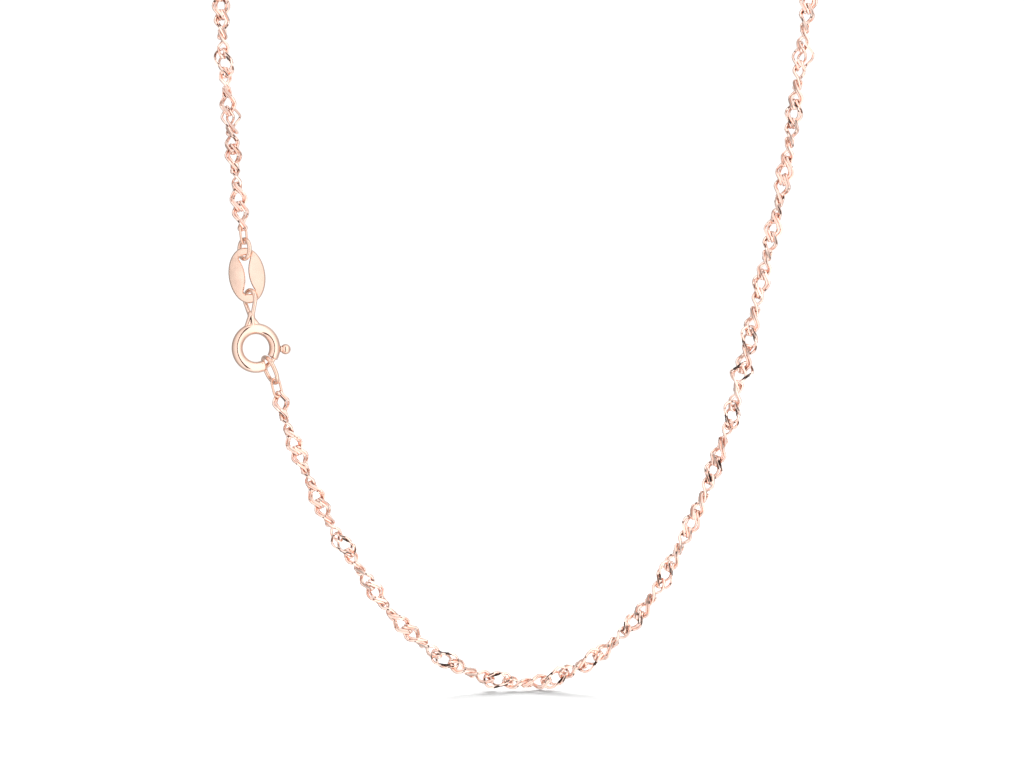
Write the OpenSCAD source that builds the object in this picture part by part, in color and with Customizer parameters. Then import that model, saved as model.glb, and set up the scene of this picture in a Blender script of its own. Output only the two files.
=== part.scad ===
/* [Chain] */
// Width across the twisted chain
chain_width = 1.7; // [1.2:0.1:2.2]
// Radius of the round top of the loop, on the chain's centre line
top_radius = 38; // [37.9:0.1:38.1]

/* [End links] */
// Outside length of the plain link at each end of the chain
link_length = 2.1; // [2.1:0.05:2.2]
// Outside width of the plain link
link_width = 1.1; // [1.05:0.05:1.15]
// Thickness of the link wire
link_wire = 0.25; // [0.2:0.01:0.26]

/* [Jump rings] */
// Outside diameter of the ring between the tag and the chain
tag_ring_d = 2.4; // [2.35:0.05:2.4]
// Wire of the tag's ring
tag_ring_wire = 0.45; // [0.35:0.05:0.45]
// Outside length of the oval ring that the clasp holds
end_ring_length = 3.23; // [3.2:0.01:3.25]
// Outside width of the oval ring that the clasp holds
end_ring_width = 2.866; // [2.85:0.01:2.88]
// Wire of the clasp's ring
end_ring_wire = 0.43; // [0.35:0.01:0.43]

/* [Clasp] */
// Outside diameter of the bolt ring
clasp_d = 5; // [4.9:0.05:5.1]
// Diameter of its hollow tube
tube_d = 1.13; // [1.1:0.01:1.15]
// Bore inside the tube
bore_d = 0.86; // [0.84:0.01:0.9]
// Turn of the clasp about the vertical, its right side away from the viewer
clasp_turn = 20; // [18:1:22]
// Diameter of the sliding bolt
bolt_d = 0.46; // [0.4:0.01:0.48]
// Diameter of the ball on the trigger
trigger_d = 1.06; // [0.9:0.02:1.1]
// Travel of the bolt round the ring when the trigger is pulled back
bolt_travel = 38; // [36:1:39]

/* [Bail on the clasp] */
// Wire of the bail
bail_wire = 0.45; // [0.35:0.05:0.45]
// Radius of the bail's round top, on the wire's centre line
bail_radius = 0.895; // [0.85:0.005:0.9]
// Turn of the bail about its own length, its right limb towards the viewer
bail_turn = 50; // [48:1:54]

/* [Tag] */
// Length of the oval tag
tag_length = 5.6; // [5.5:0.05:5.7]
// Width of the oval tag
tag_width = 3.66; // [3.5:0.02:3.8]
// Thickness of the tag
tag_thickness = 0.35; // [0.25:0.05:0.35]
// Width of the hourglass slot at its ends
slot_end_width = 1.12; // [1.1:0.01:1.2]
// Width of the hourglass slot at its waist
slot_waist = 0.36; // [0.3:0.02:0.5]
// Length of the hourglass slot
slot_length = 3.9; // [3.85:0.05:3.95]

/* [Hidden] */
$fn = 64;

// The origin is the inside top of the loop, where it lies on a neck or a stand.
// X runs to the viewer's right, Y away from the viewer, Z up.

// Places of the pieces
clasp_at = [-27.4, 0, -156.8];
tag_at = [-28.3, 0, -149.55];
tag_ring_at = [-28.55, 0, -146.91];
end_ring_at = [-26.02, 0.42, -159.0];
link_tag_at = [-28.65, 0, -145.44];
link_clasp_at = [-25.38, 0.67, -160.76];

// Each piece's set: lean is its top to the left, turn is its right side towards the viewer,
// pitch is its top towards the viewer
tag_set = [8, 0, 0];
tag_ring_set = [0, 54, 0];
end_ring_set = [8.2, 64, 16.3];
link_tag_set = [7, -52, 0];
link_clasp_set = [14, -25, 0];

// Clasp angles, anticlockwise from the viewer's right
gap_top = -29;
gap_low = -62;
tube_sweep = 360 + gap_low - gap_top;
trigger_angle = -2;
bolt_tip = -61;
bolt_tail = 12;
bail_angle = 100;
slot_margin = 6;
tube_r = (clasp_d - tube_d) / 2;
bolt_clearance = 0.03;
bolt_r = tube_r + bore_d / 2 - bolt_d / 2 - bolt_clearance;
neck_d = 0.34;
collar_d = 0.64;
trigger_slot = 0.44;
slot_floor = 0.2;
cut_past = 1;
trigger_r = clasp_d / 2 + trigger_d / 2 + bolt_clearance;

// Bail, from its root just inside the clasp's surface to its round top in the tag's slot
bail_sunk = 0.08;
bail_root_r = clasp_d / 2 - bail_sunk;
bail_root = clasp_at + [bail_root_r * cos(bail_angle) * cos(clasp_turn),
                        bail_root_r * cos(bail_angle) * sin(clasp_turn),
                        bail_root_r * sin(bail_angle)];
bail_top = [-28.06, 0.07, -151.03];
bail_rise = bail_top - bail_root;
bail_pitch = asin(-bail_rise[1] / norm(bail_rise));
bail_lean = atan2(-bail_rise[0], bail_rise[2]);
bail_centre_up = norm(bail_rise) - bail_radius;
bail_limb_angle = 25;
bail_limb = 1.4;
limb_lap = 0.05;
limb_wire = bail_wire - 0.01;
solder_d = 0.76;
solder_up = 0.95;
solder_sunk = 0.3;
foot_d = 0.6;
foot_spread = 24;
foot_up = 0.75;

// Slot of the tag
slot_corner = 0.22;
slot_shift = 0.08;
slot_straight = 0.35;
waist_chord = slot_length / 2 - slot_straight;
waist_depth = (slot_end_width - slot_waist) / 2;
waist_radius = (waist_chord * waist_chord + waist_depth * waist_depth) / (2 * waist_depth);

// Route of the chain's centre line, from the clasp round to the tag
route_low = [
    [-25.0, 0.70, -162.05], [-24.6, 0.65, -163.8], [-23.8, 0.55, -166.0], [-22.9, 0.45, -168.0],
    [-22.0, 0.35, -170.3], [-20.8, 0.25, -172.8], [-19.5, 0.15, -175.2], [-18.0, 0.08, -177.5],
    [-16.3, 0.03, -180.0], [-14.3, 0, -182.8], [-12.0, 0, -185.2], [-9.0, 0, -187.6],
    [-6.0, 0, -189.2], [-3.0, 0, -190.1], [-0.5, 0, -190.3], [2.0, 0, -189.9],
    [4.5, 0, -188.8], [7.0, 0, -187.4], [9.0, 0, -185.6], [11.0, 0, -183.4],
    [12.8, 0, -180.8], [14.3, 0, -178.0], [16.1, 0, -174.4], [17.6, 0, -171.0],
    [19.0, 0, -167.0], [20.1, 0, -163.6], [21.2, 0, -159.0], [22.3, 0, -154.0],
    [23.4, 0, -149.0], [24.5, 0, -144.0], [25.5, 0, -139.0], [26.3, 0, -134.0],
    [27.0, 0, -128.5], [27.8, 0, -122.5], [28.7, 0, -116.0], [29.9, 0, -108.0],
    [31.3, 0, -99.0], [32.8, 0, -90.0], [34.2, 0, -81.0], [35.5, 0, -72.0],
    [36.6, 0, -63.0], [37.4, 0, -54.0], [37.9, 0, -45.0]];
route_left = [
    [-37.9, 0, -45.0], [-37.5, 0, -54.0], [-36.8, 0, -63.0], [-35.9, 0, -72.0],
    [-34.9, 0, -81.0], [-33.8, 0, -90.0], [-32.7, 0, -99.0], [-31.8, 0, -108.0],
    [-31.2, 0, -116.0], [-30.9, 0, -122.5], [-30.7, 0, -127.0], [-30.3, 0, -131.5],
    [-30.0, 0, -134.5], [-29.6, 0, -138.0], [-29.2, 0, -141.5], [-28.85, 0, -144.1]];
arc_steps = 20;
arc_centre_z = chain_width / 2 - top_radius;
route_arc = [for (i = [0 : arc_steps]) let (a = 180 * i / arc_steps)
    [top_radius * cos(a), 0, arc_centre_z + top_radius * sin(a)]];
route = concat(route_low, route_arc, route_left);
meet = len(route_low);
tube_sides = 8;

// Unit vector along v
function unit(v) = v / norm(v);
// Direction of the route at point i
function heading(i) = unit(route[min(i + 1, len(route) - 1)] - route[max(i - 1, 0)]);
// Ring of points round the route at point i
function tube_ring(i) =
    let (along = heading(i), side = unit(cross(along, [0, 1, 0])), depth = cross(side, along))
    [for (k = [0 : tube_sides - 1]) let (a = 360 * (k + 0.5) / tube_sides)
        route[i] + chain_width / 2 * (cos(a) * side + sin(a) * depth)];
// Two triangles between sides k of ring j and ring j + 1
function band(j, k) =
    let (a = j * tube_sides + k, b = j * tube_sides + (k + 1) % tube_sides)
    [[a, b, b + tube_sides], [a, b + tube_sides, a + tube_sides]];

// Closed tube along the route from point first to point last
module chain_tube(first, last) {
    rings = last - first + 1;
    points = [for (i = [first : last]) each tube_ring(i)];
    sides = [for (j = [0 : rings - 2], k = [0 : tube_sides - 1]) each band(j, k)];
    start_cap = [[for (k = [tube_sides - 1 : -1 : 0]) k]];
    end_cap = [[for (k = [0 : tube_sides - 1]) (rings - 1) * tube_sides + k]];
    polyhedron(points = points, faces = concat(start_cap, sides, end_cap), convexity = 8);
}

// Puts a piece that is modelled in the XZ plane in its place, with lean, turn and pitch
module place(at, set) {
    translate(at) rotate([0, -set[0], 0]) rotate([0, 0, -set[1]]) rotate([set[2], 0, 0])
        children();
}

// Arc of round wire in the XZ plane, anticlockwise from the viewer's right
module wire_arc(radius, wire, start, sweep) {
    rotate([90, 0, 0]) rotate([0, 0, start])
        rotate_extrude(angle = sweep) translate([radius, 0]) circle(d = wire);
}

// Closed ring of round wire with straight sides, in the XZ plane
module oval_ring(length, width, wire) {
    radius = (width - wire) / 2;
    straight = length - width;
    translate([0, 0, straight / 2]) wire_arc(radius, wire, 0, 180);
    translate([0, 0, -straight / 2]) wire_arc(radius, wire, 180, 180);
    for (side = [-1, 1])
        translate([side * radius, 0, -straight / 2]) cylinder(h = straight, d = wire);
}

// Round rod between two points of the XZ plane
module rod(from, to, wire) {
    span = to - from;
    translate([from[0], 0, from[1]]) rotate([0, atan2(span[0], span[1]), 0])
        cylinder(h = norm(span), d = wire);
}

// Bail and its solder, standing up from the clasp's surface
module bail() {
    centre = [0, bail_centre_up];
    wire_sweep = 180 + 2 * bail_limb_angle;
    translate([0, 0, bail_centre_up])
        wire_arc(bail_radius, bail_wire, -bail_limb_angle, wire_sweep);
    for (side = [-1, 1]) {
        along = [side * sin(bail_limb_angle), cos(bail_limb_angle)];
        start = centre + bail_radius * [side * cos(bail_limb_angle), -sin(bail_limb_angle)];
        rod(start + limb_lap * along, start - bail_limb * along, limb_wire);
    }
    translate([0, 0, -solder_sunk]) cylinder(h = solder_up + solder_sunk, d = solder_d);
    translate([0, 0, solder_up]) sphere(d = solder_d);
}

// Feet that spread the solder along the clasp's tube
module solder_feet() {
    for (turn = [-foot_spread : foot_spread / 2 : foot_spread]) {
        foot = bail_angle + turn;
        rod(tube_r * [cos(foot), sin(foot)],
            (bail_root_r + foot_up) * [cos(bail_angle), sin(bail_angle)], foot_d);
    }
}

module clasp_ring() color([0.93, 0.72, 0.62]) {
    difference() {
        union() {
            place(clasp_at, [0, -clasp_turn, 0]) {
                wire_arc(tube_r, tube_d, gap_top, tube_sweep);
                solder_feet();
            }
            translate(bail_root) rotate([0, -bail_lean, 0]) rotate([bail_pitch, 0, 0])
                rotate([0, 0, -bail_turn]) bail();
        }
        place(clasp_at, [0, -clasp_turn, 0]) {
            wire_arc(tube_r, bore_d, gap_top - cut_past, tube_sweep + 2 * cut_past);
            trigger_slot_cut();
        }
    }
}

// Slot in the outer wall of the tube, in which the trigger's neck runs
module trigger_slot_cut() {
    start = trigger_angle - slot_margin;
    rotate([90, 0, 0]) rotate([0, 0, start])
        rotate_extrude(angle = bolt_travel + 2 * slot_margin)
            translate([tube_r + slot_floor, -trigger_slot / 2]) square([tube_d, trigger_slot]);
}

module clasp_bolt() color([0.95, 0.76, 0.66]) {
    neck_dir = [cos(trigger_angle), sin(trigger_angle)];
    tip = bolt_r * [cos(bolt_tip), sin(bolt_tip)];
    place(clasp_at, [0, -clasp_turn, 0]) {
        wire_arc(bolt_r, bolt_d, bolt_tip, bolt_tail - bolt_tip);
        translate([tip[0], 0, tip[1]]) sphere(d = bolt_d);
        rod(bolt_r * neck_dir, trigger_r * neck_dir, neck_d);
        rod((clasp_d / 2 + bolt_clearance) * neck_dir, trigger_r * neck_dir, collar_d);
        translate([trigger_r * neck_dir[0], 0, trigger_r * neck_dir[1]]) sphere(d = trigger_d);
    }
}

// Outline of the tag's slot
module slot_outline() {
    long = slot_length / 2 - slot_corner;
    wide = slot_end_width / 2 - slot_corner;
    difference() {
        union() {
            square([slot_end_width, 2 * long], center = true);
            square([2 * wide, slot_length], center = true);
            for (x = [-wide, wide], y = [-long, long]) translate([x, y]) circle(r = slot_corner);
        }
        for (side = [-1, 1])
            translate([side * (slot_waist / 2 + waist_radius), 0]) circle(r = waist_radius, $fn = 128);
    }
}

module tag() color([0.96, 0.82, 0.72]) {
    place(tag_at, tag_set) rotate([90, 0, 0]) translate([0, 0, -tag_thickness / 2])
        linear_extrude(tag_thickness) difference() {
            scale([tag_width / tag_length, 1]) circle(d = tag_length, $fn = 96);
            translate([0, slot_shift]) slot_outline();
        }
}

module tag_ring() color([0.93, 0.72, 0.62]) {
    place(tag_ring_at, tag_ring_set)
        wire_arc((tag_ring_d - tag_ring_wire) / 2, tag_ring_wire, 0, 360);
}

module end_ring() color([0.93, 0.72, 0.62]) {
    place(end_ring_at, end_ring_set) oval_ring(end_ring_length, end_ring_width, end_ring_wire);
}

module end_link_tag() color([0.95, 0.76, 0.66]) {
    place(link_tag_at, link_tag_set) oval_ring(link_length, link_width, link_wire);
}

module end_link_clasp() color([0.95, 0.76, 0.66]) {
    place(link_clasp_at, link_clasp_set) oval_ring(link_length, link_width, link_wire);
}

module chain_lower() color([0.94, 0.74, 0.64]) {
    chain_tube(0, meet);
}

module chain_upper() color([0.94, 0.74, 0.64]) {
    chain_tube(meet, len(route) - 1);
}

clasp_ring();
clasp_bolt();
tag();
tag_ring();
end_ring();
end_link_tag();
end_link_clasp();
chain_lower();
chain_upper();
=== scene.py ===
"""Dresses the twisted chain necklace and sets up its studio.

Lengths are in metres and angles in degrees, in the frame of the part's source: X runs to the
viewer's right, Y away from the viewer and Z up, from the inside top of the loop.
"""

import logging
import math
import random
from dataclasses import dataclass, field
from enum import Enum

import bpy
import numpy as np
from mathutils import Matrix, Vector


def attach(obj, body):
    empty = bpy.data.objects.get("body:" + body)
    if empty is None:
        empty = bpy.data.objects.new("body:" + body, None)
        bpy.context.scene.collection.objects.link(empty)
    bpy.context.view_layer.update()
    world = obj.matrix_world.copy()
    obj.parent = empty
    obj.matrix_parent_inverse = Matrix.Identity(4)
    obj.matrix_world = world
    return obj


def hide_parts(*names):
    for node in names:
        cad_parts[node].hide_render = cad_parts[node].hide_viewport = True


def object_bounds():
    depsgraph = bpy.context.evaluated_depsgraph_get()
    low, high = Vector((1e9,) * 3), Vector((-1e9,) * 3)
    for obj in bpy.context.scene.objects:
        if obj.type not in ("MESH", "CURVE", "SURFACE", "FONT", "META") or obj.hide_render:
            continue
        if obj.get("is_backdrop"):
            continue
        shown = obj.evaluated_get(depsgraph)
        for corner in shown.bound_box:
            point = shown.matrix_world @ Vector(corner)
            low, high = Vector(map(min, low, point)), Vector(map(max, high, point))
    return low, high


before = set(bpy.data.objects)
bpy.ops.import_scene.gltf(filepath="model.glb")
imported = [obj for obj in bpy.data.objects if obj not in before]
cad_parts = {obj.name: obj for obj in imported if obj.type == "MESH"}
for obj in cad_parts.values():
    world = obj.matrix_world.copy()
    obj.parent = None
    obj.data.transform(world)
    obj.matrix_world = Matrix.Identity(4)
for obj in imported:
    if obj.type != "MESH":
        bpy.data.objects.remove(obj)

LOG = logging.getLogger("necklace")
BODY = "necklace"
MM = 0.001

Colour = tuple[float, float, float]
Point = tuple[float, float, float]


class Grain(Enum):
    """How a gold surface is worked, by the scale of its marks along Z: less draws them out."""

    CUT = 0.35
    POLISHED = 1.0
    DRAWN = 0.15
    ROLLED = 0.06


@dataclass(frozen=True)
class GoldFinish:
    """A rose gold surface, with its clouds of colour and its fine marks.

    Attributes:
        name: Name of the material.
        light: Colour where the alloy is palest.
        deep: Colour where it is reddest.
        roughness: Roughness between the marks.
        haze: How much rougher the duller clouds are.
        grain: How the surface is worked.
        cloud: Size of the clouds of colour.
        mark: Size of the fine marks.
        relief: Height of the fine marks.
        dish: How hollow the sheet is: its height over the square of the distance from dish_at.
        dish_at: Place of the hollow's middle along X.
        stops: Values of the clouds' noise where the deep gold ends and the light is full.
        smear: Size of the duller smears beside the clouds'.
        smear_stops: Values of their noise where the haze begins and is full.
        cloud_detail: Number of finer layers of the clouds.
        smear_detail: Number of finer layers of the smears.
        mark_detail: Number of finer layers of the marks.
    """

    name: str
    light: Colour
    deep: Colour
    roughness: float
    haze: float
    grain: Grain
    cloud: float
    mark: float
    relief: float
    dish: float = 0.0
    dish_at: float = 0.0
    stops: tuple[float, float] = (0.32, 0.62)
    smear: float = 0.4
    smear_stops: tuple[float, float] = (0.3, 0.75)
    cloud_detail: float = 3.0
    smear_detail: float = 4.0
    mark_detail: float = 5.0

    def material(self) -> bpy.types.Material:
        """Makes the material.

        Returns:
            The new material.
        """
        material = bpy.data.materials.new(self.name)
        material.use_nodes = True
        tree = material.node_tree
        shader = tree.nodes["Principled BSDF"]
        shader.inputs["Metallic"].default_value = 1.0
        place = tree.nodes.new("ShaderNodeTexCoord").outputs["Object"]
        self._colour(tree, shader, place)
        self._gloss(tree, shader, place)
        self._marks(tree, shader, place)
        return material

    def _colour(
        self, tree: bpy.types.NodeTree, shader: bpy.types.Node, place: bpy.types.NodeSocket
    ) -> None:
        """Mixes the two golds in soft clouds.

        Args:
            tree: Nodes of the material.
            shader: Surface that takes the colour.
            place: Place on the object.
        """
        clouds = noise(tree, place, self.cloud, self.cloud_detail)
        ramp = tree.nodes.new("ShaderNodeValToRGB")
        for index, colour in enumerate((self.deep, self.light)):
            ramp.color_ramp.elements[index].position = self.stops[index]
            ramp.color_ramp.elements[index].color = (*colour, 1.0)
        tree.links.new(clouds, ramp.inputs["Fac"])
        tree.links.new(ramp.outputs["Color"], shader.inputs["Base Color"])

    def _gloss(
        self, tree: bpy.types.NodeTree, shader: bpy.types.Node, place: bpy.types.NodeSocket
    ) -> None:
        """Makes the gloss uneven, as handling leaves it.

        Args:
            tree: Nodes of the material.
            shader: Surface that takes the roughness.
            place: Place on the object.
        """
        smears = noise(tree, place, self.cloud * self.smear, self.smear_detail)
        spread = tree.nodes.new("ShaderNodeMapRange")
        begins, full = self.smear_stops
        spread.inputs["From Min"].default_value = begins
        spread.inputs["From Max"].default_value = full
        spread.inputs["To Min"].default_value = self.roughness
        spread.inputs["To Max"].default_value = self.roughness + self.haze
        tree.links.new(smears, spread.inputs["Value"])
        tree.links.new(spread.outputs["Result"], shader.inputs["Roughness"])

    def _marks(
        self, tree: bpy.types.NodeTree, shader: bpy.types.Node, place: bpy.types.NodeSocket
    ) -> None:
        """Raises the marks that the last tool left.

        Args:
            tree: Nodes of the material.
            shader: Surface that takes the marks.
            place: Place on the object.
        """
        scaled = tree.nodes.new("ShaderNodeMapping")
        scaled.inputs["Scale"].default_value = (1.0, 1.0, self.grain.value)
        tree.links.new(place, scaled.inputs["Vector"])
        marks = noise(tree, scaled.outputs["Vector"], self.mark, self.mark_detail)
        bump = tree.nodes.new("ShaderNodeBump")
        bump.inputs["Strength"].default_value = 1.0
        bump.inputs["Distance"].default_value = self.relief
        tree.links.new(marks, bump.inputs["Height"])
        tree.links.new(bump.outputs["Normal"], shader.inputs["Normal"])
        if self.dish:
            self._hollow(tree, bump, place)

    def _hollow(
        self, tree: bpy.types.NodeTree, bump: bpy.types.Node, place: bpy.types.NodeSocket
    ) -> None:
        """Makes the sheet slightly hollow from side to side, as it comes off the rolls.

        Args:
            tree: Nodes of the material.
            bump: Marks that the hollow lies under.
            place: Place on the object.
        """
        parts = tree.nodes.new("ShaderNodeSeparateXYZ")
        tree.links.new(place, parts.inputs["Vector"])
        off = maths(tree, "SUBTRACT", parts.outputs["X"], self.dish_at)
        height = maths(tree, "MULTIPLY", maths(tree, "MULTIPLY", off, off), self.dish)
        under = tree.nodes.new("ShaderNodeBump")
        under.inputs["Distance"].default_value = 1.0
        tree.links.new(height, under.inputs["Height"])
        tree.links.new(under.outputs["Normal"], bump.inputs["Normal"])


def noise(
    tree: bpy.types.NodeTree, place: bpy.types.NodeSocket, size: float, detail: float
) -> bpy.types.NodeSocket:
    """Adds a noise texture.

    Args:
        tree: Nodes of the material.
        place: Place that the noise is read at.
        size: Size of its clouds.
        detail: Number of finer layers.

    Returns:
        The noise's value.
    """
    texture = tree.nodes.new("ShaderNodeTexNoise")
    texture.inputs["Scale"].default_value = 1.0 / size
    texture.inputs["Detail"].default_value = detail
    tree.links.new(place, texture.inputs["Vector"])
    return texture.outputs["Fac"]


def maths(
    tree: bpy.types.NodeTree, operation: str, *terms: bpy.types.NodeSocket | float
) -> bpy.types.NodeSocket:
    """Adds a step of arithmetic.

    Args:
        tree: Nodes of the world or material.
        operation: Name of the operation.
        terms: What it works on, as sockets or plain numbers.

    Returns:
        The result.
    """
    step = tree.nodes.new("ShaderNodeMath")
    step.operation = operation
    for entry, term in zip(step.inputs, terms):
        if isinstance(term, bpy.types.NodeSocket):
            tree.links.new(term, entry)
        else:
            entry.default_value = term
    return step.outputs["Value"]


def steps(
    tree: bpy.types.NodeTree, value: bpy.types.NodeSocket, levels: tuple[tuple[float, float], ...]
) -> bpy.types.NodeSocket:
    """Reads a grey level off a row of stops.

    Args:
        tree: Nodes of the world or material.
        value: Value that is looked up, from 0 to 1.
        levels: Place and level of each stop, in order.

    Returns:
        The level.
    """
    ramp = tree.nodes.new("ShaderNodeValToRGB")
    tree.links.new(value, ramp.inputs["Fac"])
    stops = ramp.color_ramp.elements
    stops[1].position, last = levels[-1]
    stops[1].color = (last, last, last, 1.0)
    stops[0].position, first = levels[0]
    stops[0].color = (first, first, first, 1.0)
    for position, level in levels[1:-1]:
        stops.new(position).color = (level, level, level, 1.0)
    return ramp.outputs["Color"]


CUT_GOLD = GoldFinish(
    "cut_link_gold", light=(0.97, 0.74, 0.65), deep=(0.94, 0.65, 0.55), roughness=0.08, haze=0.08,
    grain=Grain.CUT, cloud=0.0022, mark=0.00006, relief=0.0000006,
)
TUBE_GOLD = GoldFinish(
    "polished_tube_gold", light=(0.88, 0.64, 0.53), deep=(0.84, 0.57, 0.455), roughness=0.09,
    haze=0.08, grain=Grain.POLISHED, cloud=0.0035, mark=0.00012, relief=0.0000006,
)
WIRE_GOLD = GoldFinish(
    "drawn_wire_gold", light=(0.91, 0.65, 0.53), deep=(0.87, 0.57, 0.44), roughness=0.10,
    haze=0.10, grain=Grain.DRAWN, cloud=0.0020, mark=0.00008, relief=0.0000008,
)
SHEET_GOLD = GoldFinish(
    "rolled_sheet_gold", light=(0.90, 0.655, 0.54), deep=(0.87, 0.60, 0.475), roughness=0.12,
    haze=0.08, grain=Grain.ROLLED, cloud=0.0030, mark=0.00010, relief=0.0000010,
    dish=8.5, dish_at=-0.0283,
)

# Points of a solid that are nearer than this are one, and edges that turn more than this are eased
WELD_REACH = 0.002 * MM
EASED_FROM = 40.0


def dress(
    node: str, finish: GoldFinish, edge: float = 0.0, rounds: int = 2
) -> bpy.types.Object:
    """Gives a node of the frame its finish.

    Args:
        node: Name of the node.
        finish: Finish that it takes.
        edge: Width that its sharp edges are eased by, if any.
        rounds: Number of facets that ease an edge; a single one stays flat.

    Returns:
        The node's object.
    """
    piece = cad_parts[node]
    piece.data.materials.clear()
    piece.data.materials.append(finish.material())
    if edge:
        weld = piece.modifiers.new("weld", "WELD")
        weld.merge_threshold = WELD_REACH
        easing = piece.modifiers.new("eased_edges", "BEVEL")
        easing.width = edge
        easing.segments = rounds
        easing.limit_method = "ANGLE"
        easing.angle_limit = math.radians(EASED_FROM)
        easing.harden_normals = rounds > 1
    LOG.info("dressed %s in %s", node, finish.name)
    return piece


# The chain's centre line as in the part's source: from the clasp along the bottom and up the
# right side to the round top, and then from the round top down the left side to the tag
ROUTE_LOW: tuple[Point, ...] = (
    (-0.0250, 0.00070, -0.16205), (-0.0246, 0.00065, -0.1638), (-0.0238, 0.00055, -0.1660),
    (-0.0229, 0.00045, -0.1680), (-0.0220, 0.00035, -0.1703), (-0.0208, 0.00025, -0.1728),
    (-0.0195, 0.00015, -0.1752), (-0.0180, 0.00008, -0.1775), (-0.0163, 0.00003, -0.1800),
    (-0.0143, 0.0, -0.1828), (-0.0120, 0.0, -0.1852), (-0.0090, 0.0, -0.1876),
    (-0.0060, 0.0, -0.1892), (-0.0030, 0.0, -0.1901), (-0.0005, 0.0, -0.1903),
    (0.0020, 0.0, -0.1899), (0.0045, 0.0, -0.1888), (0.0070, 0.0, -0.1874),
    (0.0090, 0.0, -0.1856), (0.0110, 0.0, -0.1834), (0.0128, 0.0, -0.1808),
    (0.0143, 0.0, -0.1780), (0.0161, 0.0, -0.1744), (0.0176, 0.0, -0.1710),
    (0.0190, 0.0, -0.1670), (0.0201, 0.0, -0.1636), (0.0212, 0.0, -0.1590),
    (0.0223, 0.0, -0.1540), (0.0234, 0.0, -0.1490), (0.0245, 0.0, -0.1440),
    (0.0255, 0.0, -0.1390), (0.0263, 0.0, -0.1340), (0.0270, 0.0, -0.1285),
    (0.0278, 0.0, -0.1225), (0.0287, 0.0, -0.1160), (0.0299, 0.0, -0.1080),
    (0.0313, 0.0, -0.0990), (0.0328, 0.0, -0.0900), (0.0342, 0.0, -0.0810),
    (0.0355, 0.0, -0.0720), (0.0366, 0.0, -0.0630), (0.0374, 0.0, -0.0540),
    (0.0379, 0.0, -0.0450),
)
ROUTE_LEFT: tuple[Point, ...] = (
    (-0.0379, 0.0, -0.0450), (-0.0375, 0.0, -0.0540), (-0.0368, 0.0, -0.0630),
    (-0.0359, 0.0, -0.0720), (-0.0349, 0.0, -0.0810), (-0.0338, 0.0, -0.0900),
    (-0.0327, 0.0, -0.0990), (-0.0318, 0.0, -0.1080), (-0.0312, 0.0, -0.1160),
    (-0.0309, 0.0, -0.1225), (-0.0307, 0.0, -0.1270), (-0.0303, 0.0, -0.1315),
    (-0.0300, 0.0, -0.1345), (-0.0296, 0.0, -0.1380), (-0.0292, 0.0, -0.1415),
    (-0.02885, 0.0, -0.1441),
)


@dataclass
class Route:
    """Centre line of the chain, measured along its length.

    Attributes:
        top_radius: Radius of the round top of the loop.
        tube_radius: Radius of the tube that the chain stands for.
        arc_steps: Steps of the round top.
        finer: Places worked out between two points of the route.
        probe: Distance to each side that the line's direction is measured over.
        places: Close places on the line.
        along: Their distances from the clasp's end.
        left_start: Distance where the left side begins.
        meet: Distance where the chain's two pieces meet.
    """

    top_radius: float = 0.038
    tube_radius: float = 0.00085
    arc_steps: int = 20
    finer: int = 24
    probe: float = 0.2 * MM
    places: np.ndarray = field(init=False)
    along: np.ndarray = field(init=False)
    left_start: float = field(init=False)
    meet: float = field(init=False)

    def __post_init__(self) -> None:
        """Draws the smooth line through the points and measures it."""
        centre_z = self.tube_radius - self.top_radius
        turns = np.linspace(0.0, math.pi, self.arc_steps + 1)
        arc = [
            (self.top_radius * math.cos(t), 0.0, centre_z + self.top_radius * math.sin(t))
            for t in turns
        ]
        points = np.array([*ROUTE_LOW, *arc, *ROUTE_LEFT])
        self.places = self._smooth(points)
        steps = np.linalg.norm(np.diff(self.places, axis=0), axis=1)
        self.along = np.concatenate([[0.0], np.cumsum(steps)])
        self.meet = float(self.along[len(ROUTE_LOW) * self.finer])
        self.left_start = float(self.along[(len(ROUTE_LOW) + len(arc)) * self.finer])

    def _smooth(self, points: np.ndarray) -> np.ndarray:
        """Draws a smooth line through points, as a Catmull-Rom spline.

        Args:
            points: The points, in order.

        Returns:
            Close places on the line.
        """
        ends = np.vstack([2 * points[0] - points[1], points, 2 * points[-1] - points[-2]])
        share = np.linspace(0.0, 1.0, self.finer, endpoint=False)[:, None]
        line = []
        for a, b, c, d in zip(ends, ends[1:], ends[2:], ends[3:]):
            bend = (c - a) * share
            bend = bend + (2 * a - 5 * b + 4 * c - d) * share**2
            bend = bend + (3 * b - a - 3 * c + d) * share**3
            line.append(b + bend / 2)
        return np.vstack([*line, points[-1:]])

    @property
    def length(self) -> float:
        """Length of the whole centre line."""
        return float(self.along[-1])

    def at(self, distance: np.ndarray) -> tuple[np.ndarray, np.ndarray, np.ndarray]:
        """Finds places on the line, and past its ends straight on.

        Args:
            distance: Distances from the clasp's end.

        Returns:
            The places, and the directions across the chain and away from the viewer there.
        """
        kept = np.clip(distance, self.probe, self.length - self.probe)
        heading = self._read(kept + self.probe) - self._read(kept - self.probe)
        heading /= np.linalg.norm(heading, axis=1)[:, None]
        spot = self._read(kept) + heading * (distance - kept)[:, None]
        away = np.array([0.0, 1.0, 0.0]) - heading[:, 1:2] * heading
        away /= np.linalg.norm(away, axis=1)[:, None]
        return spot, np.cross(away, heading), away

    def _read(self, distance: np.ndarray) -> np.ndarray:
        """Reads places off the measured line."""
        return np.stack(
            [np.interp(distance, self.along, self.places[:, axis]) for axis in range(3)], axis=1
        )


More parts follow.
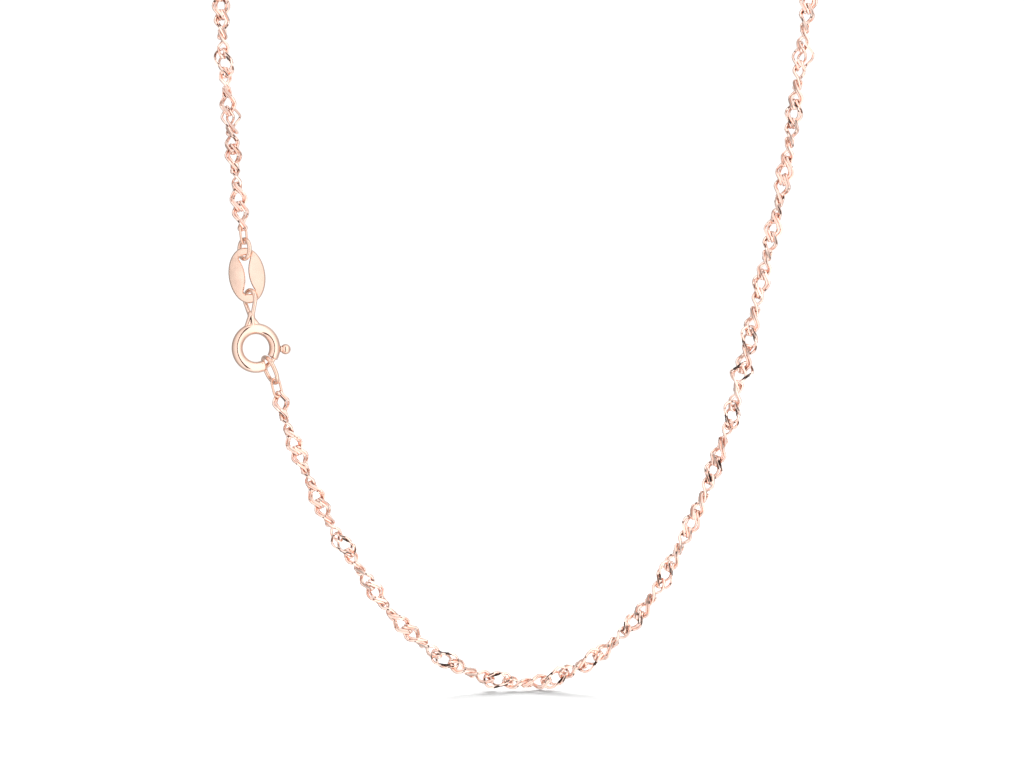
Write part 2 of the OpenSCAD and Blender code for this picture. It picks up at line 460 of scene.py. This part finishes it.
@dataclass(frozen=True)
class LinkShape:
    """An oval wire link, twisted about the chain and cut flat where it stands proud.

    Attributes:
        length: Outside length along the chain.
        width: Outside width across it.
        wire: Thickness of the wire.
        twist: Turn of each end about the chain, against the middle.
        fullness: Roundness of the oval, 2 for an ellipse and more for squarer ends.
        rolled: Distance from the link's own plane that its wire is rolled down to.
        press: Sharpness of the bend where the rolled part begins.
        cut_out: Distance of the flats from the link's own plane.
        lean: Slope of the sides of a link that is cut square, across its length.
        lead: Distance of its two flats from its middle, one to each end.
        bow: Radius that it bends away from the viewer with.
        face: Distance of its flats from its own plane.
        stations: Places round the link.
        sides: Sides of its wire.
        crease: Turn between two of its faces from which their edge is sharp.
    """

    length: float = 0.00311
    width: float = 0.00157
    wire: float = 0.00027
    twist: float = -113.9
    fullness: float = 2.24
    rolled: float = 0.00034
    press: float = 6.0
    cut_out: float = 0.000385
    lean: float = 0.50
    lead: float = 0.00045
    bow: float = 0.0034
    face: float = 0.000030
    stations: int = 44
    sides: int = 8
    crease: float = 28.0


@dataclass(frozen=True)
class Lie:
    """How one link lies in the chain.

    Attributes:
        centre: Distance of its middle from the clasp's end of the chain.
        turn: Turn about the chain.
        skew: Turn in its own plane.
        across: Shift across the chain in the link's own plane.
        away: Shift out of that plane.
        size: Its size beside the plain link's.
        broad: Its width beside its length's.
        cut: Whether the cutter reaches it.
        square: Whether it faces the viewer and is cut square.
    """

    centre: float
    turn: float
    skew: float = 0.0
    across: float = 0.0
    away: float = 0.0
    size: float = 1.0
    broad: float = 1.0
    cut: bool = False
    square: bool = False


@dataclass(frozen=True)
class Oddity:
    """A link that lies out of line in the photograph.

    Attributes:
        spot: Its place, as X and Z.
        skew: Turn in its own plane.
        across: Shift across the chain.
        size: Its size beside the plain link's.
        along: Shift along the chain.
        broad: Its width beside its length's, for a link that lies square to the viewer, and 0
            for one that lies as its neighbours do.
    """

    spot: tuple[float, float]
    skew: float
    across: float = 0.0
    size: float = 1.0
    along: float = 0.0
    broad: float = 0.0


class Half(Enum):
    """The two pieces of the chain, by the nodes that they stand for."""

    LOWER = "chain_lower"
    UPPER = "chain_upper"


@dataclass
class TwistedChain:
    """The chain: pairs of twisted links, each turned a little further than the last.

    Attributes:
        route: Centre line.
        link: Shape of a link.
        pairs: Number of pairs.
        end_gap: Distance of the first and last pair from the ends of the route.
        end_turns: Turn of the first and last pair, which clears the end links.
        end_reach: Number of pairs that ease into each.
        half_turn: Length of half a turn of the chain where the photograph doesn't show it.
        necks_low: Places where the chain shows its edge, from the clasp's end.
        necks_left: The same down the left side, from the lower end of the round top.
        side_shift: Shift of a pair's two links across the chain.
        away_shift: Their shift out of their own plane.
        along_shift: Their shift along the chain.
        fan: Turn of a pair's two links apart.
        square_front: Shift of a square link to the viewer.
        squares: Places, as X and Z, where a pair faces the viewer squarely.
        square_turn: Turn of such a pair to the viewer's right.
        most_square_turn: Most that it may take about the chain, where that lies nearly level.
        square_reach: Number of pairs on each side that ease into it.
        oddities: Links that lie out of line.
        seed: Start of the small irregularities.
        turn_play: Most that a pair is turned at random to either side.
        link_turn_play: The same for each of its links.
        skew_play: The same for a link's turn in its own plane.
        size_play: The same for its size.
        along_play: The same for its place along the chain.
    """

    route: Route
    link: LinkShape = LinkShape()
    pairs: int = 224
    end_gap: float = 0.0005
    end_turns: tuple[float, float] = (140.0, 135.0)
    end_reach: int = 8
    half_turn: float = 0.0052
    necks_low: tuple[float, ...] = (
        0.0034, 0.0086, 0.0138, 0.0186, 0.0236, 0.0287, 0.0342, 0.0395, 0.0448, 0.0501,
        0.0552, 0.0608, 0.0668, 0.0727, 0.0776, 0.0823, 0.0869, 0.0915, 0.0968, 0.1030,
        0.1093,
    )
    necks_left: tuple[float, ...] = (0.0805, 0.0853, 0.0897, 0.0931, 0.0980)
    side_shift: float = 0.00016
    away_shift: float = 0.00004
    along_shift: float = -0.00001
    fan: float = 1.4
    square_front: float = 0.00028
    squares: tuple[tuple[float, float], ...] = (
        (-0.0083, -0.1881), (-0.0037, -0.1901), (0.0021, -0.1900), (0.0065, -0.1878),
        (0.0134, -0.1793), (0.0198, -0.1642), (0.0221, -0.1556), (-0.0305, -0.1283),
        (-0.0185, -0.1768),
    )
    square_turn: float = 3.3
    most_square_turn: float = 28.0
    square_reach: int = 3
    oddities: tuple[Oddity, ...] = (
        Oddity((0.0212, -0.1590), 68.0, size=0.77, along=0.00062, broad=1.5),
        Oddity((0.0278, -0.1282), 25.0, across=0.00030),
        Oddity((0.0243, -0.1410), 0.0, size=1.15),
        Oddity((-0.0295, -0.1338), -25.0, across=0.00025),
    )
    seed: int = 5
    turn_play: float = 2.0
    link_turn_play: float = 1.2
    skew_play: float = 2.0
    size_play: float = 0.006
    along_play: float = 0.01 * MM

    def build(self) -> list[bpy.types.Object]:
        """Builds both pieces of the chain and puts them in the frame.

        Returns:
            The two pieces.
        """
        lies = self._lies()
        pieces = []
        for half in Half:
            lower = half is Half.LOWER
            chosen = [lie for lie in lies if (lie.centre < self.route.meet) == lower]
            piece = self._mesh(f"{half.value}_links", chosen)
            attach(piece, BODY)
            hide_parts(half.value)
            LOG.info("built %s from %d links", piece.name, len(chosen))
            pieces.append(piece)
        return pieces

    def dress(self, pieces: list[bpy.types.Object]) -> None:
        """Gives both pieces the cut gold.

        Args:
            pieces: The two pieces.
        """
        gold = CUT_GOLD.material()
        for piece in pieces:
            piece.data.materials.append(gold)

    def _turn_at(self, centres: np.ndarray) -> np.ndarray:
        """Works out the turn of the chain from the places where it shows its edge.

        Args:
            centres: Distances from the clasp's end.

        Returns:
            The turns, 0 where a link faces the viewer.
        """
        left = [self.route.left_start + neck for neck in self.necks_left]
        hidden = round((left[0] - self.necks_low[-1]) / self.half_turn)
        counts = list(range(len(self.necks_low)))
        counts += [counts[-1] + hidden + i for i in range(len(left))]
        necks = [*self.necks_low, *left]
        before = necks[0] - self.half_turn
        after = necks[-1] + self.half_turn
        return 90.0 - 180.0 * np.interp(
            centres, [before, *necks, after], [-1, *counts, counts[-1] + 1]
        )

    def _eased(self, turns: np.ndarray, chosen: dict[int, float], reach: int) -> np.ndarray:
        """Gives the chosen pairs their own turns, and eases their neighbours after them.

        Args:
            turns: Turn of each pair.
            chosen: Turn of each chosen pair, by its number.
            reach: Number of pairs on each side that ease into it.

        Returns:
            The new turns.
        """
        places, shifts = [], []
        for index, turn in sorted(chosen.items()):
            off = (turns[index] - turn + 90.0) % 180.0 - 90.0
            if not places or index - places[-1] > reach:
                places.append(index - reach)
                shifts.append(0.0)
            places += [index, index + reach]
            shifts += [off, 0.0]
        return turns - np.interp(np.arange(len(turns)), places, shifts)

    @staticmethod
    def _nearest(spots: np.ndarray, spot: tuple[float, float]) -> int:
        """Finds which of the spots is nearest to a place given as X and Z."""
        return int(np.argmin(np.hypot(spots[:, 0] - spot[0], spots[:, 2] - spot[1])))

    def _facing(self, across: float, away: float) -> float:
        """Works out the turn that shows the flats of a square link to the viewer.

        Args:
            across: X of the direction across the chain.
            away: X of the direction away from the viewer there.

        Returns:
            The turn about the chain.
        """
        wanted = math.sin(math.radians(self.square_turn)) + away
        most = math.sin(math.radians(self.most_square_turn))
        return math.degrees(math.asin(np.clip(wanted / across, -most, most)))

    def _lies(self) -> list[Lie]:
        """Lays out every link.

        Returns:
            How each link lies, in pairs from the clasp's end.
        """
        centres = np.linspace(self.end_gap, self.route.length - self.end_gap, self.pairs)
        spots, across, away = self.route.at(centres)
        chosen = [self._nearest(spots, spot) for spot in self.squares]
        odd = {self._nearest(spots, oddity.spot): oddity for oddity in self.oddities}
        knots = [pair for pair, oddity in odd.items() if oddity.broad > 0]
        facing = {p: self._facing(across[p, 0], away[p, 0]) for p in (*chosen, *knots)}
        ends = dict(zip((0, self.pairs - 1), self.end_turns))
        turns = self._eased(self._turn_at(centres), ends, self.end_reach)
        turns = self._eased(turns, {p: facing[p] for p in chosen}, self.square_reach)
        dice = random.Random(self.seed)
        lies = []
        for pair, (centre, turn) in enumerate(zip(centres, turns)):
            turn += dice.uniform(-self.turn_play, self.turn_play)
            lies.append(self._lay(dice, -1, centre, turn))
            lies.append(self._lay(dice, 1, centre, turn, facing.get(pair), odd.get(pair)))
        return lies

    def _lay(
        self, dice: random.Random, side: int, centre: float, turn: float,
        facing: float | None = None, oddity: Oddity | None = None,
    ) -> Lie:
        """Lays out one link of a pair.

        Args:
            dice: Draws of the small irregularities.
            side: -1 for the pair's first link, and 1 for its second, which the cutter reaches.
            centre: Distance of the pair from the clasp's end.
            turn: Turn of the pair about the chain.
            facing: Turn that the link takes where it is cut square.
            oddity: How it lies out of line, if it does.

        Returns:
            How the link lies.
        """
        skew = dice.uniform(-self.skew_play, self.skew_play)
        sideways = side * self.side_shift
        size = 1.0 + dice.uniform(-self.size_play, self.size_play)
        along = side * self.along_shift + dice.uniform(-self.along_play, self.along_play)
        if oddity:
            skew += oddity.skew
            sideways += oddity.across
            along += oddity.along
            size *= oddity.size
        if oddity and oddity.broad > 0:
            return Lie(
                centre + along, facing, skew, away=-self.square_front, size=size,
                broad=oddity.broad, square=True,
            )
        if facing is not None:
            return Lie(centre, facing, away=-self.square_front, square=True)
        turn += side * self.fan + dice.uniform(-self.link_turn_play, self.link_turn_play)
        return Lie(
            centre + along, turn, skew, across=sideways, away=side * self.away_shift, size=size,
            cut=side == 1,
        )

    def _link_points(self, lie: Lie) -> np.ndarray:
        """Shapes one link in the chain's own directions.

        Args:
            lie: How the link lies.

        Returns:
            Its points as across, away and along, in rings round the wire.
        """
        link = self.link
        radius = link.wire / 2
        half_length = (link.length / 2 - radius) * lie.size
        half_width = (link.width / 2 - radius) * lie.size * lie.broad
        t = np.linspace(0.0, 2 * math.pi, link.stations, endpoint=False)
        power = 2 / link.fullness
        u = half_length * np.sign(np.cos(t)) * np.abs(np.cos(t)) ** power
        v = half_width * np.sign(np.sin(t)) * np.abs(np.sin(t)) ** power
        bent = self._square_line if lie.square else self._twisted_line
        points = self._wire(bent(u, v, lie.skew))
        if lie.square:
            points[:, 1] = np.maximum(points[:, 1], -link.face)
        elif lie.cut:
            points[:, 1] = np.clip(points[:, 1], -link.cut_out, link.cut_out)
        points += np.array([lie.across, lie.away, 0.0])
        turn = math.radians(lie.turn)
        x = points[:, 0] * math.cos(turn) - points[:, 1] * math.sin(turn)
        y = points[:, 0] * math.sin(turn) + points[:, 1] * math.cos(turn)
        return np.stack([x, y, points[:, 2]], axis=1)

    def _wire(self, line: np.ndarray) -> np.ndarray:
        """Lays round wire along a closed line.

        Args:
            line: Its centre line as across, away and along.

        Returns:
            Its points, in rings round the wire.
        """
        link = self.link
        heading = np.roll(line, -1, axis=0) - np.roll(line, 1, axis=0)
        heading /= np.linalg.norm(heading, axis=1)[:, None]
        outward = np.cross(heading, np.array([0.0, 1.0, 0.0]))
        outward /= np.linalg.norm(outward, axis=1)[:, None]
        upward = np.cross(outward, heading)
        angle = 2 * math.pi * (np.arange(link.sides) + 0.5) / link.sides
        points = line[:, None] + link.wire / 2 * (
            np.cos(angle)[None, :, None] * outward[:, None]
            + np.sin(angle)[None, :, None] * upward[:, None]
        )
        return points.reshape(-1, 3)

    def _twisted_line(self, u: np.ndarray, v: np.ndarray, skew: float) -> np.ndarray:
        """Twists an oval about the chain and rolls it thinner.

        Args:
            u: Places along the oval.
            v: Places across it.
            skew: Its turn in its own plane.

        Returns:
            The wire's centre line as across, away and along.
        """
        link = self.link
        tilt = math.radians(skew)
        along = u * math.cos(tilt) - v * math.sin(tilt)
        over = u * math.sin(tilt) + v * math.cos(tilt)
        twist = math.radians(link.twist) * along / np.abs(u).max()
        proud = over * np.sin(twist)
        rolled = proud / (1 + np.abs(proud / link.rolled) ** link.press) ** (1 / link.press)
        return np.stack([over * np.cos(twist), rolled, along], axis=1)

    def _square_line(self, u: np.ndarray, v: np.ndarray, skew: float) -> np.ndarray:
        """Leans an oval across the chain and bows its ends away from the viewer.

        Args:
            u: Places along the oval.
            v: Places across it.
            skew: Its turn in its own plane.

        Returns:
            The wire's centre line as across, away and along.
        """
        link = self.link
        over = v - link.lean * u * (1 - (u / np.abs(u).max()) ** 2)
        back = (u - link.lead * v / np.abs(v).max()) ** 2 / (2 * link.bow)
        tilt = math.radians(skew)
        along = u * math.cos(tilt) - over * math.sin(tilt)
        return np.stack([u * math.sin(tilt) + over * math.cos(tilt), back, along], axis=1)

    def _mesh(self, name: str, lies: list[Lie]) -> bpy.types.Object:
        """Joins links into one mesh.

        Args:
            name: Name of the piece.
            lies: How its links lie.

        Returns:
            The piece.
        """
        local = np.concatenate([self._link_points(lie) + [0.0, 0.0, lie.centre] for lie in lies])
        spots, across, away = self.route.at(local[:, 2])
        points = spots + local[:, 0:1] * across + local[:, 1:2] * away
        stations, sides = self.link.stations, self.link.sides
        station, side = np.meshgrid(np.arange(stations), np.arange(sides), indexing="ij")
        onward, round_on = (station + 1) % stations, (side + 1) % sides
        quads = np.stack([
            station * sides + side, station * sides + round_on,
            onward * sides + round_on, onward * sides + side,
        ], axis=-1).reshape(-1, 4)
        starts = np.arange(len(lies)) * stations * sides
        faces = (quads[None] + starts[:, None, None]).reshape(-1, 4)
        mesh = bpy.data.meshes.new(name)
        mesh.from_pydata(points.tolist(), [], faces.tolist())
        mesh.polygons.foreach_set("use_smooth", [True] * len(mesh.polygons))
        mesh.set_sharp_from_angle(angle=math.radians(self.link.crease))
        mesh.update()
        piece = bpy.data.objects.new(name, mesh)
        bpy.context.scene.collection.objects.link(piece)
        return piece


@dataclass
class Clasp:
    """The bolt ring: its tube with the bail, and the sliding bolt.

    Attributes:
        edge: Width that the tube's cut edges are eased by.
    """

    edge: float = 0.025 * MM

    def dress(self) -> None:
        """Gives the tube and the bolt their gold."""
        dress("clasp_ring", TUBE_GOLD, self.edge)
        dress("clasp_bolt", TUBE_GOLD)


@dataclass
class Rings:
    """The jump rings and the plain end links of the chain.

    Attributes:
        rings: The jump rings.
        links: The end links.
    """

    rings: tuple[str, ...] = ("tag_ring", "end_ring")
    links: tuple[str, ...] = ("end_link_tag", "end_link_clasp")

    def dress(self) -> None:
        """Gives each its drawn wire."""
        for name in self.rings:
            dress(name, WIRE_GOLD)
        for name in self.links:
            dress(name, WIRE_GOLD)


@dataclass
class Tag:
    """The flat oval tag, left bare.

    Attributes:
        edge: Width of the flat chamfer round its rims.
    """

    edge: float = 0.15 * MM

    def dress(self) -> None:
        """Gives the tag its rolled gold."""
        dress("tag", SHEET_GOLD, self.edge, rounds=1)


@dataclass
class Studio:
    """Floor, light and camera.

    Attributes:
        floor_gap: Gap between the chain and the floor.
        floor_half: Half the width of the floor.
        floor_tone: Its share of the light that it gives back.
        lens: Focal length of the camera, in millimetres.
        sensor: Width of its sensor, in millimetres.
        view_width: Width of what it sees at the chain.
        aim: Place that it looks at.
        slit_turn: Turn of the tent's slit to the viewer's right of the camera.
        slit_half: Half its width.
        slit_reach: How far it runs up and down.
        slit_soft: Shares of its half width between which its edges fade out.
        slit_fade: Half the span that its ends fade over, as a cosine.
        slit_colour: Light that comes through it.
        wall_levels: Light of the tent's wall, from straight behind the chain to the camera.
        side_levels: Factor on it, from the viewer's left to the right.
        ground_level: Light of the ground behind, as the camera sees it.
        lamp_rise: Height of the lamp above the floor.
        lamp_turn: Its turn to the viewer's right of straight behind the chain.
        lamp_width: Its width as the chain sees it.
        lamp_power: Its light on a surface that faces it.
    """

    floor_gap: float = 0.02 * MM
    floor_half: float = 3.0
    floor_tone: float = 0.38
    lens: float = 100.0
    sensor: float = 36.0
    view_width: float = 0.1024
    aim: Point = (-0.0018, 0.0, -0.1604)
    slit_turn: float = 6.5
    slit_half: float = 8.0
    slit_reach: float = 60.0
    slit_soft: tuple[float, float] = (0.85, 1.15)
    slit_fade: float = 0.04
    slit_colour: Colour = (0.03, 0.018, 0.015)
    wall_levels: tuple[tuple[float, float], ...] = (
        (0.0, 0.75), (0.25, 0.58), (0.45, 0.75), (0.55, 1.15), (0.75, 1.42), (1.0, 1.40),
    )
    side_levels: tuple[tuple[float, float], ...] = (
        (0.0, 0.62), (0.25, 0.88), (0.42, 0.97), (0.48, 1.08), (0.58, 1.22), (0.80, 1.30),
        (1.0, 0.85),
    )
    ground_level: float = 1.1
    lamp_rise: float = 11.0
    lamp_turn: float = -5.0
    lamp_width: float = 36.0
    lamp_power: float = 40.0

    def build(self) -> None:
        """Builds the whole studio."""
        self._lamp(self._floor())
        self._surround()
        self._camera()
        settings = bpy.context.scene.view_settings
        settings.view_transform = "Standard"
        LOG.info("built the studio")

    def _floor(self) -> bpy.types.Object:
        """Lays the pale floor just under the chain, where the gold doesn't mirror it.

        Returns:
            The floor.
        """
        low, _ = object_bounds()
        h = self.floor_half
        mesh = bpy.data.meshes.new("floor")
        corners = [(-h, -h, 0.0), (h, -h, 0.0), (h, h, 0.0), (-h, h, 0.0)]
        mesh.from_pydata(corners, [], [(0, 1, 2, 3)])
        floor = bpy.data.objects.new("floor", mesh)
        floor.location.z = low.z - self.floor_gap
        floor.visible_glossy = False
        bpy.context.scene.collection.objects.link(floor)
        floor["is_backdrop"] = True
        paper = bpy.data.materials.new("floor_paper")
        paper.use_nodes = True
        tree = paper.node_tree
        tree.nodes.clear()
        matt = tree.nodes.new("ShaderNodeBsdfDiffuse")
        matt.inputs["Color"].default_value = (*(self.floor_tone,) * 3, 1.0)
        out = tree.nodes.new("ShaderNodeOutputMaterial")
        tree.links.new(matt.outputs["BSDF"], out.inputs["Surface"])
        mesh.materials.append(paper)
        return floor

    def _surround(self) -> None:
        """Hangs a white tent round the piece, with an upright slit towards the camera."""
        world = bpy.data.worlds.new("tent")
        bpy.context.scene.world = world
        world.use_nodes = True
        tree = world.node_tree
        tree.nodes.clear()
        lit = tree.nodes.new("ShaderNodeMix")
        lit.data_type = "RGBA"
        lit.inputs["A"].default_value = (*self.slit_colour, 1.0)
        tree.links.new(self._beside_slit(tree), lit.inputs["Factor"])
        tree.links.new(self._wall(tree), lit.inputs["B"])
        tent = tree.nodes.new("ShaderNodeBackground")
        tree.links.new(lit.outputs["Result"], tent.inputs["Color"])
        ground = tree.nodes.new("ShaderNodeBackground")
        ground.inputs["Color"].default_value = (1.0, 1.0, 1.0, 1.0)
        ground.inputs["Strength"].default_value = self.ground_level
        seen = tree.nodes.new("ShaderNodeLightPath")
        mix = tree.nodes.new("ShaderNodeMixShader")
        tree.links.new(seen.outputs["Is Camera Ray"], mix.inputs["Fac"])
        tree.links.new(tent.outputs["Background"], mix.inputs[1])
        tree.links.new(ground.outputs["Background"], mix.inputs[2])
        out = tree.nodes.new("ShaderNodeOutputWorld")
        tree.links.new(mix.outputs["Shader"], out.inputs["Surface"])

    def _beside_slit(self, tree: bpy.types.NodeTree) -> bpy.types.NodeSocket:
        """Tells the tent's wall from its slit.

        Args:
            tree: Nodes of the world.

        Returns:
            1 on the wall and 0 in the slit.
        """
        turn = math.radians(self.slit_turn)
        across = self._facing(tree, (math.cos(turn), math.sin(turn), 0.0))
        half = math.sin(math.radians(self.slit_half))
        near, far = (half * share for share in self.slit_soft)
        outside = steps(tree, maths(tree, "ABSOLUTE", across), ((near, 0.0), (far, 1.0)))
        ahead = self._facing(tree, (math.sin(turn), -math.cos(turn), 0.0))
        reach = math.cos(math.radians(self.slit_reach))
        low, high = reach - self.slit_fade, reach + self.slit_fade
        beyond = steps(tree, ahead, ((low, 1.0), (high, 0.0)))
        return maths(tree, "MAXIMUM", outside, beyond)

    def _wall(self, tree: bpy.types.NodeTree) -> bpy.types.NodeSocket:
        """Works out the light of the tent's wall.

        Args:
            tree: Nodes of the world.

        Returns:
            Its level.
        """
        levels = []
        # Half a direction, and a half added, bring the cosine into the range from 0 to 1
        for way, row in (((0.0, -0.5, 0.0), self.wall_levels), ((0.5, 0.0, 0.0), self.side_levels)):
            share = maths(tree, "ADD", self._facing(tree, way), 0.5)
            levels.append(steps(tree, share, row))
        product = tree.nodes.new("ShaderNodeMix")
        product.data_type = "RGBA"
        product.blend_type = "MULTIPLY"
        product.inputs["Factor"].default_value = 1.0
        tree.links.new(levels[0], product.inputs["A"])
        tree.links.new(levels[1], product.inputs["B"])
        return product.outputs["Result"]

    def _facing(self, tree: bpy.types.NodeTree, way: Point) -> bpy.types.NodeSocket:
        """Measures how far the tent's wall lies in a direction.

        Args:
            tree: Nodes of the world.
            way: The direction.

        Returns:
            The cosine of the angle from it.
        """
        place = tree.nodes.new("ShaderNodeTexCoord").outputs["Generated"]
        product = tree.nodes.new("ShaderNodeVectorMath")
        product.operation = "DOT_PRODUCT"
        product.inputs[1].default_value = way
        tree.links.new(place, product.inputs[0])
        return product.outputs["Value"]

    def _lamp(self, floor: bpy.types.Object) -> None:
        """Hangs one wide soft lamp low behind the chain, for the shadow at its foot.

        Args:
            floor: The floor, which alone it lights.
        """
        lamp = bpy.data.lights.new("back_lamp", "SUN")
        lamp.angle = math.radians(self.lamp_width)
        lamp.energy = self.lamp_power
        hung = bpy.data.objects.new("back_lamp", lamp)
        rise, turn = math.radians(self.lamp_rise), math.radians(self.lamp_turn)
        source = Vector((
            math.cos(rise) * math.sin(turn), math.cos(rise) * math.cos(turn), math.sin(rise)
        ))
        hung.rotation_euler = source.to_track_quat("Z", "Y").to_euler()
        bpy.context.scene.collection.objects.link(hung)
        lit = bpy.data.collections.new("lit_by_back_lamp")
        lit.objects.link(floor)
        hung.light_linking.receiver_collection = lit

    def _camera(self) -> None:
        """Puts the camera where the photograph was taken from, looking level along Y."""
        lens = bpy.data.cameras.new("camera")
        lens.lens = self.lens
        lens.sensor_width = self.sensor
        camera = bpy.data.objects.new("camera", lens)
        away = self.view_width * self.lens / self.sensor
        camera.location = (self.aim[0], self.aim[1] - away, self.aim[2])
        camera.rotation_euler = (math.radians(90.0), 0.0, 0.0)
        bpy.context.scene.collection.objects.link(camera)
        bpy.context.scene.camera = camera


def main() -> None:
    """Builds and dresses the necklace, then sets up the studio."""
    logging.basicConfig(level=logging.INFO, format="%(message)s")
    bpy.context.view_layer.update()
    chain = TwistedChain(Route())
    chain.dress(chain.build())
    Clasp().dress()
    Rings().dress()
    Tag().dress()
    Studio().build()


if __name__ == "__main__":
    main()
